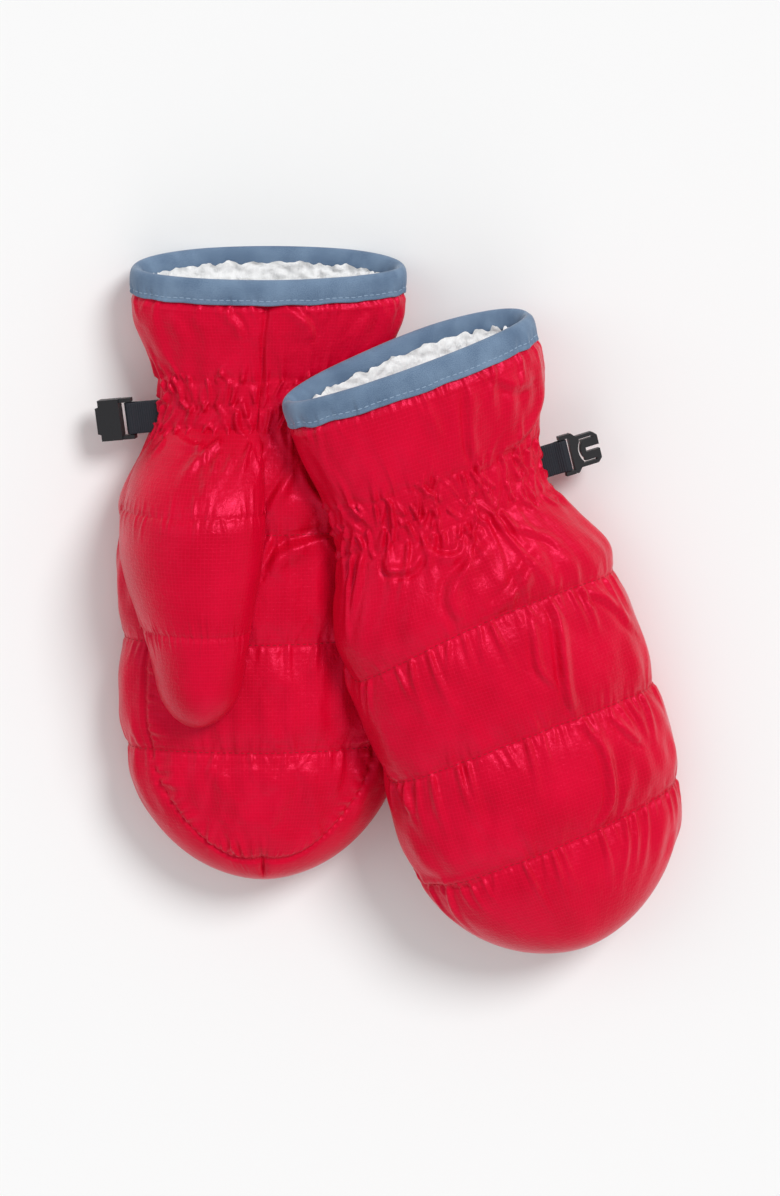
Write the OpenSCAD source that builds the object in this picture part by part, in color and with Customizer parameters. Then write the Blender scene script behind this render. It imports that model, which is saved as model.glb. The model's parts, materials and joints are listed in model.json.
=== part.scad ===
// A pair of insulated puffer mittens lying flat: the right mitten palm up, the left one back up and
// partly on top of it. Each has a shell, insulation, pile lining, bound cuff, elastic wrist, folded
// thumb, and a webbing tab that carries one half of a glove clip.
// Every mitten is described in its own frame: Y runs from the fingertip to the cuff, the thumb is on
// the -X side, and Z is the height over the side edge, positive towards the palm.

/* [Mitten outline] */
// Length from the fingertip to the edge of the cuff
mitten_len = 286; // [284:1:300]
// Length over which the fingertip rounds off
tip_len = 78; // [70:1:86]
// Half width over the hand, right then left
hand_hw = [66.5, 68.5]; // [60:0.5:70]
// Half width at the gathered wrist
wrist_hw = 49.5; // [46:0.5:54]
// Half width of the cuff
cuff_hw = 62; // [58:0.5:66]
// Distance of the narrowest part of the wrist from the fingertip
wrist_y = 224; // [222:1:226]

/* [Thickness, right then left] */
// Palm height over the hand
palm_hand_h = [28, 22]; // [20:0.5:32]
// Palm height at the wrist
palm_wrist_h = [20, 18]; // [16:0.5:24]
// Palm height at the cuff
palm_cuff_h = [23, 19]; // [17:0.5:26]
// Back height over the hand
back_hand_h = [24, 34]; // [22:0.5:38]
// Back height at the wrist
back_wrist_h = [20, 24]; // [18:0.5:28]
// Back height at the cuff
back_cuff_h = [23, 27]; // [20:0.5:32]
// Share of the palm's height that is pressed flat where one mitten lies on the other
palm_press = [0.22, 0.4]; // [0.1:0.02:0.5]
// How far the side of the mouth that lies below stands out past the upper one, each way
mouth_slant = [-5, 5]; // [-8:0.5:8]

/* [Layers] */
// Thickness of the shell fabric with its backing
shell_t = 1; // [0.8:0.1:1.2]
// Depth at which the insulation ends
fill_depth = 6.7; // [6:0.1:6.8]
// Depth at which the lining ends
lining_depth = 11; // [9:0.5:11]
// Share of the layer depths that is left at the mouth
mouth_share = 0.55; // [0.5:0.05:0.7]
// Distance of the first quilt line from the fingertip
quilt_first = 63; // [62:0.5:63]
// Distance between quilt lines
quilt_pitch = 51; // [50:0.5:51]
// Depth that a quilt line pulls the shell in
quilt_depth = 3.6; // [2:0.1:3.8]

/* [Thumb, right then left] */
// Distance of the thumb's tip from the fingertip
thumb_tip_y = 78; // [74:1:84]
// Distance of the thumb's base from the fingertip
thumb_base_y = 172; // [172:1:173]
// Centre of the thumb's base
thumb_base_x = [-31.5, -6]; // [-34:0.5:0]
// Centre of the thumb's tip
thumb_tip_x = [-30, -28]; // [-32:0.5:-20]
// Half width of the thumb's base
thumb_base_hw = [29.5, 20]; // [18:0.5:30]
// Half width of the thumb near its tip
thumb_tip_hw = [18, 15]; // [14:0.5:20]
// Thickness of the thumb at its base
thumb_base_h = [25, 13]; // [12:0.5:26]
// Thickness of the thumb near its tip
thumb_tip_h = [20, 12]; // [11.5:0.5:22]
// Length over which the thumb's tip rounds off
thumb_tip_len = 16; // [14:1:18]
// Share of the thumb's layer depths
thumb_layer_share = [1, 0.75]; // [0.7:0.05:1]

/* [Cuff binding and elastic] */
// Height of the binding on the outside
binding_h = 10; // [8:0.5:12]
// Height of the binding on the inside
binding_inner_h = 8; // [6:0.5:10]
// Thickness of the folded tape
binding_t = 1; // [0.8:0.1:1.4]
// Width of the elastic band
elastic_w = 24; // [18:2:24]
// Depth of the elastic band's outer face
elastic_depth = 2.5; // [2.4:0.1:2.6]
// Thickness of the elastic band
elastic_t = 2; // [1.5:0.1:2.2]

/* [Webbing tab] */
// Width of the webbing
webbing_w = 14.6; // [14:0.1:15]
// Thickness of one layer of webbing
webbing_t = 1.3; // [1:0.1:1.4]
// Distance of the tab from the fingertip, right then left
tab_y = [216, 224]; // [212:0.5:228]
// Distance of the tab's fold from the middle of the mitten, right then left
tab_x = [-55.5, 49.5]; // [-57:0.5:56]
// Length from the fold at the seam to the clip's bar
tab_len = 5; // [4.5:0.1:8]
// Slope of the tab below the side edge, right then left
tab_slope = [15, 3]; // [0:1:18]
// Direction of the tab seen from above, right then left
tab_heading = [187, -1.5]; // [-5:0.5:190]

/* [Clip] */
// Half width of both clip halves
clip_hw = 9.5; // [9.2:0.1:10]
// Radius of the bar that carries the webbing
bar_r = 1; // [0.8:0.05:1.1]
// Thickness of the hook
hook_t = 3; // [2.6:0.1:3.2]
// Thickness of the receiver
receiver_t = 5.5; // [5.2:0.1:6]
// Length of both clip halves
clip_len = 18; // [17:0.5:20]

/* [Place of the mittens] */
// Height of the right mitten's side edge over the table
right_edge_z = 20; // [19:0.5:20]
// Drop of the right mitten's edge where the left one lies on it
right_edge_drop = 2; // [1:0.5:7]
// Fingertip of the left mitten, seen from the right one's fingertip
left_tip = [146.8, -32, 21.6]; // [-40:0.1:150]
// Turn of the left mitten seen from above
left_yaw = 16; // [14:0.5:18]
// Roll of the left mitten, thumb side up
left_roll = 14; // [13:0.5:15]
// Pitch of the left mitten, cuff up
left_pitch = 3.5; // [3:0.5:4]
// Middle of the pair, seen from the right mitten's fingertip
pair_centre = [58.5, 130]; // [50:0.1:140]

/* [Hidden] */

RIGHT = 0;
LEFT = 1;
red = [0.78, 0.02, 0.16];
blue = [0.36, 0.46, 0.58];
white = [0.93, 0.93, 0.92];
batting = [0.9, 0.9, 0.86];
band = [0.85, 0.85, 0.83];
black = [0.08, 0.08, 0.1];

// Columns of the body go round the section in equal steps, from the +X edge over the palm.
columns = 20;
column_step = 360 / columns;
gap = 0.3;
thumb_gap = 1.1;
thumb_shell_t = 0.8;
thumb_fill_depth = 3.7;
thumb_lining_depth = 6;
gusset_len = 36;
gusset_lining_depth = 4;
eye_bore_r = bar_r + 0.1;
eye_r = eye_bore_r + webbing_t;
slot_hw = webbing_w / 2 + 0.35;

// Rows of the body along Y: close together over the round tip, then one per quarter of a baffle.
tip_rows = [for (a = [0:12:60]) tip_len * (1 - cos(a))];
hand_rows = [for (k = [0:8]) quilt_first + k * quilt_pitch / 4];
wrist_rows = [for (k = [0:8]) thumb_base_y + k * 12];
body_rows = concat(tip_rows, hand_rows, wrist_rows, [mitten_len - 6, mitten_len]);
first_palm_row = 2;
hole_rows = [thumb_base_y, thumb_base_y + gusset_len];
hole_columns = [[6, 7], [5, 5]];

function mix(a, b, f) = a + (b - a) * f;
function ease(v) = let (c = min(1, max(0, v))) c * c * (3 - 2 * c);

// --- The outer form of a mitten ---

// Share of the full section that is reached at y, which rounds the fingertip.
function fullness(y) = y < tip_len ? sqrt(max(0, 1 - pow(1 - y / tip_len, 2))) : 1;

// A size that changes from the hand to the wrist and on to the cuff.
function along(y, hand, wrist, cuff) =
    mix(mix(hand, wrist, ease((y - wrist_y + 53) / 51)), cuff, ease((y - wrist_y - 4) / 40));

// Depth of the quilt lines.
function pinch(y) =
    let (k = round((y - quilt_first) / quilt_pitch), away = abs(y - quilt_first - k * quilt_pitch))
    k < 0 || k > 2 ? 0 : quilt_depth * max(0, 1 - away * 4 / quilt_pitch);

// Share of a layer's depth, which thins towards the mouth.
function depth_share(y) = mix(1, mouth_share, ease((y - wrist_y - 7) / 40));

// The palm is flatter where one mitten lies on the other.
function press(side, x) =
    1 - palm_press[side] * ease(side == RIGHT ? x / hand_hw[RIGHT] : (30 - x) / 60);

// The left wrist is drawn in a little towards the thumb.
function lean(side, y) =
    side == RIGHT ? 0 : -4.5 * (ease((y - wrist_y + 53) / 51) - ease((y - wrist_y - 4) / 40));

function palm_h(side, x, y) =
    along(y, palm_hand_h[side], palm_wrist_h[side], palm_cuff_h[side]) * press(side, x);
function back_h(side, y) = along(y, back_hand_h[side], back_wrist_h[side], back_cuff_h[side]);
function section_z(side, y, height, s) = height * pow(fullness(y), 0.6) * pow(abs(s), 0.85);

// Lift of the cuff's layers off the table, which leaves room for the binding under them.
function cuff_lift(y) = binding_t * ease((y - mitten_len + binding_h + 20) / 12);

// A point of the layer at a depth, at angle t round the section of row y.
function skin(side, y, t, depth) =
    let (
        d = depth * depth_share(y),
        x = (along(y, hand_hw[side], wrist_hw, cuff_hw) - d) * fullness(y) * cos(t),
        palm = sin(t) >= 0,
        height = palm ? palm_h(side, x, y) : -back_h(side, y),
        z = section_z(side, y, height - sign(height) * d, sin(t)),
        tip_y = tip_len - (tip_len - d) * (1 - y / tip_len),
        mouth_y = mouth_slant[side] * sin(t) * ease((y - wrist_y - 17) / 40)
    )
    place(side, [x + lean(side, y), y < tip_len ? tip_y : y + mouth_y, z], d + cuff_lift(y));

// Height of the palm's outer face over the side edge.
function palm_z(side, x, y) =
    let (
        w = (along(y, hand_hw[side], wrist_hw, cuff_hw) - pinch(y)) * fullness(y),
        s = sqrt(max(0, 1 - pow(min(1, abs(x) / w), 2)))
    )
    section_z(side, y, palm_h(side, x, y) - pinch(y), s);

// --- From a mitten's own frame to the table ---

function turn_x(p, a) = [p.x, p.y * cos(a) - p.z * sin(a), p.y * sin(a) + p.z * cos(a)];
function turn_y(p, a) = [p.x * cos(a) + p.z * sin(a), p.y, -p.x * sin(a) + p.z * cos(a)];
function turn_z(p, a) = [p.x * cos(a) - p.y * sin(a), p.x * sin(a) + p.y * cos(a), p.z];

function place_right(p) = [
    p.x - pair_centre.x,
    p.y - pair_centre.y,
    p.z + right_edge_z - right_edge_drop * ease(p.x / hand_hw[RIGHT])];
function place_left(p) =
    turn_z(turn_y(turn_x([p.x, p.y, -p.z], left_pitch), left_roll), left_yaw)
    + left_tip - [pair_centre.x, pair_centre.y, 0];

// Soft layers flatten where they meet the table, each at its own depth.
function place(side, p, depth = 0) =
    let (q = side == RIGHT ? place_right(p) : place_left(p)) [q.x, q.y, max(q.z, depth)];

module on_mitten(side) {
    if (side == RIGHT)
        translate([-pair_centre.x, -pair_centre.y, right_edge_z]) children();
    else
        translate(left_tip - [pair_centre.x, pair_centre.y, 0])
            rotate([0, 0, left_yaw]) rotate([0, left_roll, 0]) rotate([left_pitch, 0, 0])
                mirror([0, 0, 1]) children();
}

// --- Closed solids between two sheets of points ---

function flat(rows) = [for (row = rows) for (p = row) p];
function faces_of(corners, flip) =
    let (
        split = [[corners[0], corners[1], corners[2]], [corners[0], corners[2], corners[3]]],
        whole = [for (f = split) if (f[0] != f[1] && f[1] != f[2] && f[2] != f[0]) f]
    )
    flip ? [for (f = whole) [f[2], f[1], f[0]]] : whole;

// The cells of the sheets that keep() accepts, closed by walls all round. A tip row is one point.
module slab(outer, inner, keep, tip = false, flip = false) {
    rows = len(outer);
    cols = len(outer[0]);
    function at(sheet, i, j) =
        sheet * rows * cols + (tip && i == 0 ? 0 : i * cols + (j + cols) % cols);
    function kept(i, j) = i >= 0 && i < rows - 1 && keep(i, (j + cols) % cols);
    function cell(i, j) = concat(
        faces_of([at(0, i, j), at(0, i, j + 1), at(0, i + 1, j + 1), at(0, i + 1, j)], flip),
        faces_of([at(1, i, j), at(1, i + 1, j), at(1, i + 1, j + 1), at(1, i, j + 1)], flip),
        kept(i - 1, j) || (tip && i == 0) ? []
            : faces_of([at(0, i, j), at(1, i, j), at(1, i, j + 1), at(0, i, j + 1)], flip),
        kept(i + 1, j) ? []
            : faces_of([at(0, i + 1, j), at(0, i + 1, j + 1), at(1, i + 1, j + 1), at(1, i + 1, j)],
                flip),
        kept(i, j - 1) ? []
            : faces_of([at(0, i, j), at(0, i + 1, j), at(1, i + 1, j), at(1, i, j)], flip),
        kept(i, j + 1) ? []
            : faces_of([at(0, i, j + 1), at(1, i, j + 1), at(1, i + 1, j + 1), at(0, i + 1, j + 1)],
                flip));
    faces = [for (i = [0:rows - 2]) for (j = [0:cols - 1]) if (keep(i, j)) each cell(i, j)];
    polyhedron(points = concat(flat(outer), flat(inner)), faces = faces);
}

function sheet(side, rows, depth) = [for (y = rows)
    [for (j = [0:columns - 1]) skin(side, y, j * column_step, depth(y))]];

// A layer of the body from one depth to another.
module body_layer(side, rows, outer_depth, inner_depth, keep) {
    slab(
        sheet(side, rows, outer_depth), sheet(side, rows, inner_depth), keep,
        tip = rows[0] == 0, flip = side == LEFT);
}

// --- The panels of the body ---

function in_palm(j) = j >= 2 && j <= 7;
function in_hole(side, y, j) =
    y > hole_rows[0] && y < hole_rows[1] && j >= hole_columns[side][0] && j <= hole_columns[side][1];
function middle(rows, i) = (rows[i] + rows[i + 1]) / 2;

// The shell's back panel is in two parts, which meet on the wrist's elastic.
BACK = 0;
HAND_BACK = 1;
CUFF_BACK = 2;
PALM = 3;
OUTER_PALM = 4;
THUMB_PALM = 5;
cuff_seam_y = thumb_base_y + 60;

function in_panel(side, panel, y, j) =
    let (palm = in_palm(j) && y > tip_rows[first_palm_row])
    panel <= CUFF_BACK
        ? !palm && (panel == BACK || (panel == CUFF_BACK) == (y > cuff_seam_y))
        : palm && !in_hole(side, y, j)
            && (panel == PALM || (panel == OUTER_PALM ? j <= 4 : j >= 5));

module shell_panel(side, panel) {
    color(red) body_layer(
        side, body_rows, function(y) pinch(y), function(y) pinch(y) + shell_t,
        function(i, j) in_panel(side, panel, middle(body_rows, i), j));
}

// One padded baffle between two quilt lines.
module baffle(side, panel, rows) {
    body_layer(
        side, rows, function(y) pinch(y) + shell_t + gap, function(y) fill_depth,
        function(i, j) in_panel(side, panel, middle(rows, i), j));
}

module insulation(side, panel) {
    color(batting) {
        baffle(side, panel, concat(tip_rows, [quilt_first - 1]));
        for (k = [0:1])
            let (start = quilt_first + k * quilt_pitch)
                baffle(side, panel, concat(
                    [start + 1], [for (n = [1:3]) start + n * quilt_pitch / 4],
                    [start + quilt_pitch - 1]));
        let (last = quilt_first + 2 * quilt_pitch)
            baffle(side, panel, concat([last + 1], [for (k = [0:3]) thumb_base_y + k * 12]));
        baffle(side, panel, [for (k = [6:8]) thumb_base_y + k * 12]);
    }
}

module lining(side, panel) {
    rows = concat(tip_rows, [for (k = [0:2:8]) quilt_first + k * quilt_pitch / 4], wrist_rows,
        [mitten_len - 6, mitten_len]);
    color(white) body_layer(
        side, rows, function(y) fill_depth + gap, function(y) lining_depth,
        function(i, j) in_panel(side, panel, middle(rows, i), j));
}

module wrist_elastic(side) {
    rows = [for (k = [-1:1]) wrist_y + k * elastic_w / 2];
    color(band) body_layer(
        side, rows, function(y) elastic_depth, function(y) elastic_depth + elastic_t,
        function(i, j) true);
}

// The tape is folded over the edges of shell, insulation and lining.
module cuff_binding(side) {
    wall = lining_depth * mouth_share;
    outer_d = -binding_t;
    touch = 0.05;
    profile = [
        [mitten_len - binding_h, outer_d], [mitten_len - binding_h, -touch],
        [mitten_len + touch, -touch], [mitten_len + touch, wall + touch],
        [mitten_len - binding_inner_h, wall + touch],
        [mitten_len - binding_inner_h, wall + binding_t],
        [mitten_len + binding_t, wall + binding_t], [mitten_len + binding_t, outer_d]];
    n = len(profile);
    points = [for (j = [0:columns - 1]) for (p = profile)
        skin(side, p.x, j * column_step, p.y / depth_share(p.x))];
    faces = [for (j = [0:columns - 1]) for (k = [0:n - 1])
        let (next = (j + 1) % columns, up = (k + 1) % n)
            each faces_of([j * n + k, next * n + k, next * n + up, j * n + up], side == RIGHT)];
    color(blue) polyhedron(points = points, faces = faces);
}

// --- The thumb ---

thumb_rows = concat(
    [for (a = [0:30:60]) thumb_tip_y + thumb_tip_len * (1 - cos(a))],
    [for (k = [3:8]) quilt_first + k * quilt_pitch / 4], [thumb_base_y]);
gusset_rows = concat([thumb_base_y + gap], [for (k = [1:3]) thumb_base_y + k * gusset_len / 3]);
thumb_top_angles = [for (a = [0:22.5:157.5]) a];
thumb_ring = concat(thumb_top_angles, [for (a = [180:30:330]) a]);
top_cells = len(thumb_top_angles);

function to_base(y) = (y - thumb_tip_y) / (thumb_base_y - thumb_tip_y);
function thumb_x(side, y) = mix(thumb_tip_x[side], thumb_base_x[side], ease(to_base(y)));
function thumb_round(y) =
    y >= thumb_tip_y + thumb_tip_len ? 1
        : sqrt(max(0, 1 - pow(1 - (y - thumb_tip_y) / thumb_tip_len, 2)));
function thumb_hw(side, y) = mix(thumb_tip_hw[side], thumb_base_hw[side], ease(to_base(y)));
function thumb_h(side, y) = mix(thumb_tip_h[side], thumb_base_h[side], ease(to_base(y)));

// A point of the thumb's layer: the lower half follows the palm, the upper half arches over it.
function thumb_point(side, y, a, depth) =
    let (
        d = depth * thumb_layer_share[side],
        r = thumb_round(y),
        row_y = y + d * (1 - to_base(y)),
        x = thumb_x(side, y) + (thumb_hw(side, y) - d) * r * cos(a),
        arch = (thumb_h(side, y) - 2 * d) * pow(max(0, sin(a)), 0.8) * r,
        middle_z = (thumb_h(side, y) / 2 - d) * (1 - r),
        z = palm_z(side, x, row_y) + thumb_gap + d + middle_z + arch
    )
    place(side, [x, row_y, z], d);

module thumb_layer(side, outer_d, inner_d, keep) {
    slab(
        [for (y = thumb_rows) [for (a = thumb_ring) thumb_point(side, y, a, outer_d)]],
        [for (y = thumb_rows) [for (a = thumb_ring) thumb_point(side, y, a, inner_d)]],
        keep, tip = true, flip = side == LEFT);
}

module thumb_front_shell(side) {
    color(red) thumb_layer(side, 0, thumb_shell_t, function(i, j) j < top_cells);
}

module thumb_rear_shell(side) {
    color(red) thumb_layer(side, 0, thumb_shell_t, function(i, j) j >= top_cells);
}

module thumb_insulation(side) {
    color(batting) thumb_layer(side, thumb_shell_t + gap, thumb_fill_depth, function(i, j) true);
}

module thumb_lining(side) {
    color(white) thumb_layer(side, thumb_fill_depth + gap, thumb_lining_depth, function(i, j) true);
}

// The gusset is an arch that sinks from the thumb's base into the palm. At its far end it is lower
// and narrower than the base, and a little nearer to the middle of the mitten.
gusset_end_h = 5;
gusset_lift = 0.2;
gusset_end_w_share = 0.6;
gusset_end_x_share = 0.9;
function gusset_share(y) = ease((y - thumb_base_y) / (gusset_len + 4));
function gusset_point(side, y, a, depth) =
    let (
        d = depth * thumb_layer_share[side],
        f = gusset_share(y),
        x = thumb_base_x[side] * mix(1, gusset_end_x_share, f)
            + (thumb_base_hw[side] * mix(1, gusset_end_w_share, f) - d) * cos(a),
        arch = (mix(thumb_base_h[side], gusset_end_h, f) - d) * pow(max(0, sin(a)), 0.8)
    )
    place(side, [x + lean(side, y), y, palm_z(side, x, y) + gusset_lift + arch], d);

module gusset_layer(side, outer_d, inner_d) {
    angles = [for (a = [0:22.5:180]) a];
    slab(
        [for (y = gusset_rows) [for (a = angles) gusset_point(side, y, a, outer_d)]],
        [for (y = gusset_rows) [for (a = angles) gusset_point(side, y, a, inner_d)]],
        function(i, j) j < len(angles) - 1, flip = side == LEFT);
}

module thumb_gusset(side) {
    color(red) gusset_layer(side, 0, shell_t);
}

module palm_lining(side) {
    lining(side, PALM);
    color(white) gusset_layer(side, shell_t + gap, gusset_lining_depth);
}

// --- Webbing tab and glove clip ---

// The tab's frame: X runs outward from the fold at the seam, Y across the webbing.
module at_tab(side) {
    on_mitten(side) translate([tab_x[side], tab_y[side], 0])
        rotate([0, 0, tab_heading[side]])
            rotate([0, side == LEFT ? -tab_slope[side] : tab_slope[side], 0])
                children();
}

module across(r, width) {
    rotate([90, 0, 0]) cylinder(r = r, h = width, center = true, $fn = 32);
}

module webbing_tab(side) {
    color(black) at_tab(side) difference() {
        union() {
            across(webbing_t, webbing_w);
            translate([0, -webbing_w / 2, -webbing_t]) cube([tab_len, webbing_w, 2 * webbing_t]);
            translate([tab_len, 0, 0]) across(eye_r, webbing_w);
        }
        translate([tab_len, 0, 0]) across(eye_bore_r, webbing_w + 2);
    }
}

// The sewn end of the webbing, held between the shell and the elastic.
module tab_anchor(side) {
    length = abs(tab_x[side] - lean(side, tab_y[side])) - wrist_hw + shell_t + 0.2;
    color(black) on_mitten(side) translate([tab_x[side], tab_y[side], 0])
        rotate([0, 0, tab_heading[side]])
            translate([-length, -webbing_w / 2, -webbing_t])
                cube([length - webbing_t - gap, webbing_w, 2 * webbing_t]);
}

module clip_rails(bar_s, front_s, thickness) {
    for (side = [-1, 1])
        translate([bar_s - bar_r - 0.3, side > 0 ? slot_hw : -clip_hw, -thickness / 2])
            cube([front_s - bar_s + bar_r + 0.4, clip_hw - slot_hw, thickness]);
    translate([bar_s, 0, 0]) across(bar_r, 2 * slot_hw + 0.4);
}

// The hook: a frame with two sprung lobes between a middle slot and a C-shaped slit.
hook_bar_s = 0.9;
module hook_plate() {
    arm_hw = 7.4;
    lobe_hw = 4.9;
    slit_w = 0.8;
    difference() {
        offset(r = 1, $fn = 24) offset(delta = -1)
            polygon([[4.2, -clip_hw], [5.8, -clip_hw], [7.6, -arm_hw], [clip_len - 2, -arm_hw],
                [clip_len, -arm_hw + 2], [clip_len, arm_hw - 2], [clip_len - 2, arm_hw],
                [7.6, arm_hw], [5.8, clip_hw], [4.2, clip_hw]]);
        translate([11.3, -1]) square([clip_len, 2]);
        for (w = [-lobe_hw - slit_w, lobe_hw]) translate([9, w]) square([6.8, slit_w]);
        intersection() {
            translate([15.4, 0]) difference() {
                circle(r = 7.9, $fn = 48);
                circle(r = 6.6, $fn = 48);
            }
            translate([7, -lobe_hw - slit_w]) square([3, 2 * (lobe_hw + slit_w)]);
        }
    }
}

module clip_hook() {
    color(black) at_tab(LEFT) translate([tab_len - hook_bar_s, 0, 0]) {
        clip_rails(hook_bar_s, 4.2, hook_t);
        translate([0, 0, -hook_t / 2]) linear_extrude(hook_t) hook_plate();
    }
}

// The receiver: a flat box with a mouth for the hook.
receiver_bar_s = 2;
module clip_receiver() {
    box_s = 6.5;
    mouth_h = hook_t + 0.5;
    color(black) at_tab(RIGHT) translate([tab_len - receiver_bar_s, 0, 0]) {
        clip_rails(receiver_bar_s, box_s, receiver_t - 1.5);
        difference() {
            translate([0, 0, -receiver_t / 2]) linear_extrude(receiver_t)
                polygon([[box_s, -clip_hw], [clip_len - 1.5, -clip_hw], [clip_len - 1.5, -6.5],
                    [clip_len, -6], [clip_len, 6], [clip_len - 1.5, 6.5],
                    [clip_len - 1.5, clip_hw], [box_s, clip_hw]]);
            translate([box_s + 1.2, -7.9, -mouth_h / 2]) cube([clip_len, 15.8, mouth_h]);
        }
    }
}

// --- Nodes ---

shell_panel(RIGHT, HAND_BACK);  // right_back_shell
shell_panel(RIGHT, CUFF_BACK);  // right_cuff_back_shell
shell_panel(RIGHT, OUTER_PALM);  // right_palm_shell
shell_panel(RIGHT, THUMB_PALM);  // right_thumb_side_shell
thumb_gusset(RIGHT);  // right_thumb_gusset
thumb_front_shell(RIGHT);  // right_thumb_front_shell
thumb_rear_shell(RIGHT);  // right_thumb_rear_shell
insulation(RIGHT, BACK);  // right_back_insulation
insulation(RIGHT, PALM);  // right_palm_insulation
thumb_insulation(RIGHT);  // right_thumb_insulation
lining(RIGHT, BACK);  // right_back_lining
palm_lining(RIGHT);  // right_palm_lining
thumb_lining(RIGHT);  // right_thumb_lining
wrist_elastic(RIGHT);  // right_wrist_elastic
cuff_binding(RIGHT);  // right_cuff_binding
tab_anchor(RIGHT);  // right_tab_anchor
webbing_tab(RIGHT);  // right_webbing_tab
clip_receiver();  // right_clip_receiver

shell_panel(LEFT, HAND_BACK);  // left_back_shell
shell_panel(LEFT, CUFF_BACK);  // left_cuff_back_shell
shell_panel(LEFT, OUTER_PALM);  // left_palm_shell
shell_panel(LEFT, THUMB_PALM);  // left_thumb_side_shell
thumb_gusset(LEFT);  // left_thumb_gusset
thumb_front_shell(LEFT);  // left_thumb_front_shell
thumb_rear_shell(LEFT);  // left_thumb_rear_shell
insulation(LEFT, BACK);  // left_back_insulation
insulation(LEFT, PALM);  // left_palm_insulation
thumb_insulation(LEFT);  // left_thumb_insulation
lining(LEFT, BACK);  // left_back_lining
palm_lining(LEFT);  // left_palm_lining
thumb_lining(LEFT);  // left_thumb_lining
wrist_elastic(LEFT);  // left_wrist_elastic
cuff_binding(LEFT);  // left_cuff_binding
tab_anchor(LEFT);  // left_tab_anchor
webbing_tab(LEFT);  // left_webbing_tab
clip_hook();  // left_clip_hook
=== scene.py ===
"""Looks for the pair of insulated puffer mittens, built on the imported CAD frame.

Shapes are worked out in millimetres in each mitten's own frame (Y from fingertip to cuff, thumb at
-X, Z towards the palm). place() turns them into the shared frame, and new_object() into metres.
"""

import json
from math import pi, radians

import bmesh
import bpy
import numpy as np
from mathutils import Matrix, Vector, noise


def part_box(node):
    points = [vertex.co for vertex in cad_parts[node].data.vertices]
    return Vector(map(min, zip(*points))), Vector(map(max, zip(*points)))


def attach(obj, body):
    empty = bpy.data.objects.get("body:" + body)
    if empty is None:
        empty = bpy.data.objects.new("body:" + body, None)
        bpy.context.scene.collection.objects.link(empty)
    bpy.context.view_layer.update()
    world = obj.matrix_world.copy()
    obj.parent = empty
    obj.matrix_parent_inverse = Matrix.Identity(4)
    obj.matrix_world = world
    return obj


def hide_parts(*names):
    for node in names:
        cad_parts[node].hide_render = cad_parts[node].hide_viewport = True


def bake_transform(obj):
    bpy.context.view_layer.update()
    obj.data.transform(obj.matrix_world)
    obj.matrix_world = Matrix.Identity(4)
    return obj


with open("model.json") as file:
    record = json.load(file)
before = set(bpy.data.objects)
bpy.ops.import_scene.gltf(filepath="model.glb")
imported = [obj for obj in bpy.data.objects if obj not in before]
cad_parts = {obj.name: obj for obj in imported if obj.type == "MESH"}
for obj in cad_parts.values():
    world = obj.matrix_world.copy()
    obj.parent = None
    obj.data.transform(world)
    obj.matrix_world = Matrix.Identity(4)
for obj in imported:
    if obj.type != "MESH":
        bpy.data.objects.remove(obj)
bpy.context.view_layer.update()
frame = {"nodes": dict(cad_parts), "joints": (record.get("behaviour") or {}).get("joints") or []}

RIGHT, LEFT = 0, 1
SIDES = ["right", "left"]
MM = 0.001
rng = np.random.default_rng(11)

OUTWARD = [1, -1]  # which way grid_normals() point on each side, as the left mitten is mirrored

# ------------------------------------------------------ the form of a mitten, close to that in CAD

HAND_HW = [66.5, 68.5]  # half widths of the right and the left mitten
WRIST_HW = 49.5
CUFF_HW = [62.0, 60.3]
WRIST_Y = 224.0  # middle of the elastic
NARROWS, NARROW_LEN = 53.0, 51.0  # the hand narrows to the wrist: how far before it, how long
FLARES, FLARE_LEN = 4.0, 40.0  # the cuff flares past the wrist
TIP_LEN = 78.0  # the rounded fingertips
MITTEN_LEN = 285.0
PALM_H = [(28, 20, 23), (22, 18, 19)]  # height of the palm side at the hand, wrist and cuff
BACK_H = [(24, 20, 23), (34, 24, 27)]
PRESS = [0.22, 0.4]  # share of the palm's height lost where something presses on it
FRONT_LIP = [-4.0, -0.5]  # how far the upper lip of the mouth stands past the corners
BACK_LIP = 7.0
LEFT_MOUTH = [4.8, 0.045]  # the left mouth stands out more, and slants
MOUTH_SHARE = 0.55  # the layers are this much thinner at the mouth
QUILT_Y = [63.0, 114.0, 165.0]
LINING_DEPTH = 11.0
EDGE_Z = 20.0  # height of the right mitten's side edge over the floor
EDGE_DROP = 2.0
LEFT_TAB = [49.5, 224.0, 0.0]  # root of the left tab in its mitten's own frame
YAW, ROLL, PITCH = radians(16), radians(14), radians(3.5)  # how the left mitten lies
SEAM = radians(36)  # angle of the palm's seams over the side edges


def ease(v):
    c = np.clip(v, 0, 1)
    return c * c * (3 - 2 * c)


def mix(a, b, f):
    return a + (b - a) * f


def fullness(y):
    """Share of the full width at y, less than 1 in the rounded fingertips."""
    return np.sqrt(np.maximum(0, 1 - (1 - np.minimum(y, TIP_LEN) / TIP_LEN) ** 2))


def narrowing(y):
    """0 over the hand, 1 at the wrist."""
    return ease((y - WRIST_Y + NARROWS) / NARROW_LEN)


def flaring(y):
    """0 at the wrist, 1 at the cuff."""
    return ease((y - WRIST_Y - FLARES) / FLARE_LEN)


def along(y, hand, wrist, cuff):
    return mix(mix(hand, wrist, narrowing(y)), cuff, flaring(y))


def lean(side, y):
    """How far the middle of row y lies off the straight line, as the mitten bends."""
    if side == RIGHT:
        return 3.2 * ease((y - WRIST_Y + 46) / 50)
    bend = -4.0 * ease((y - 110) / 60) - 4.5 * narrowing(y)
    return bend + 3.5 * flaring(y)


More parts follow.
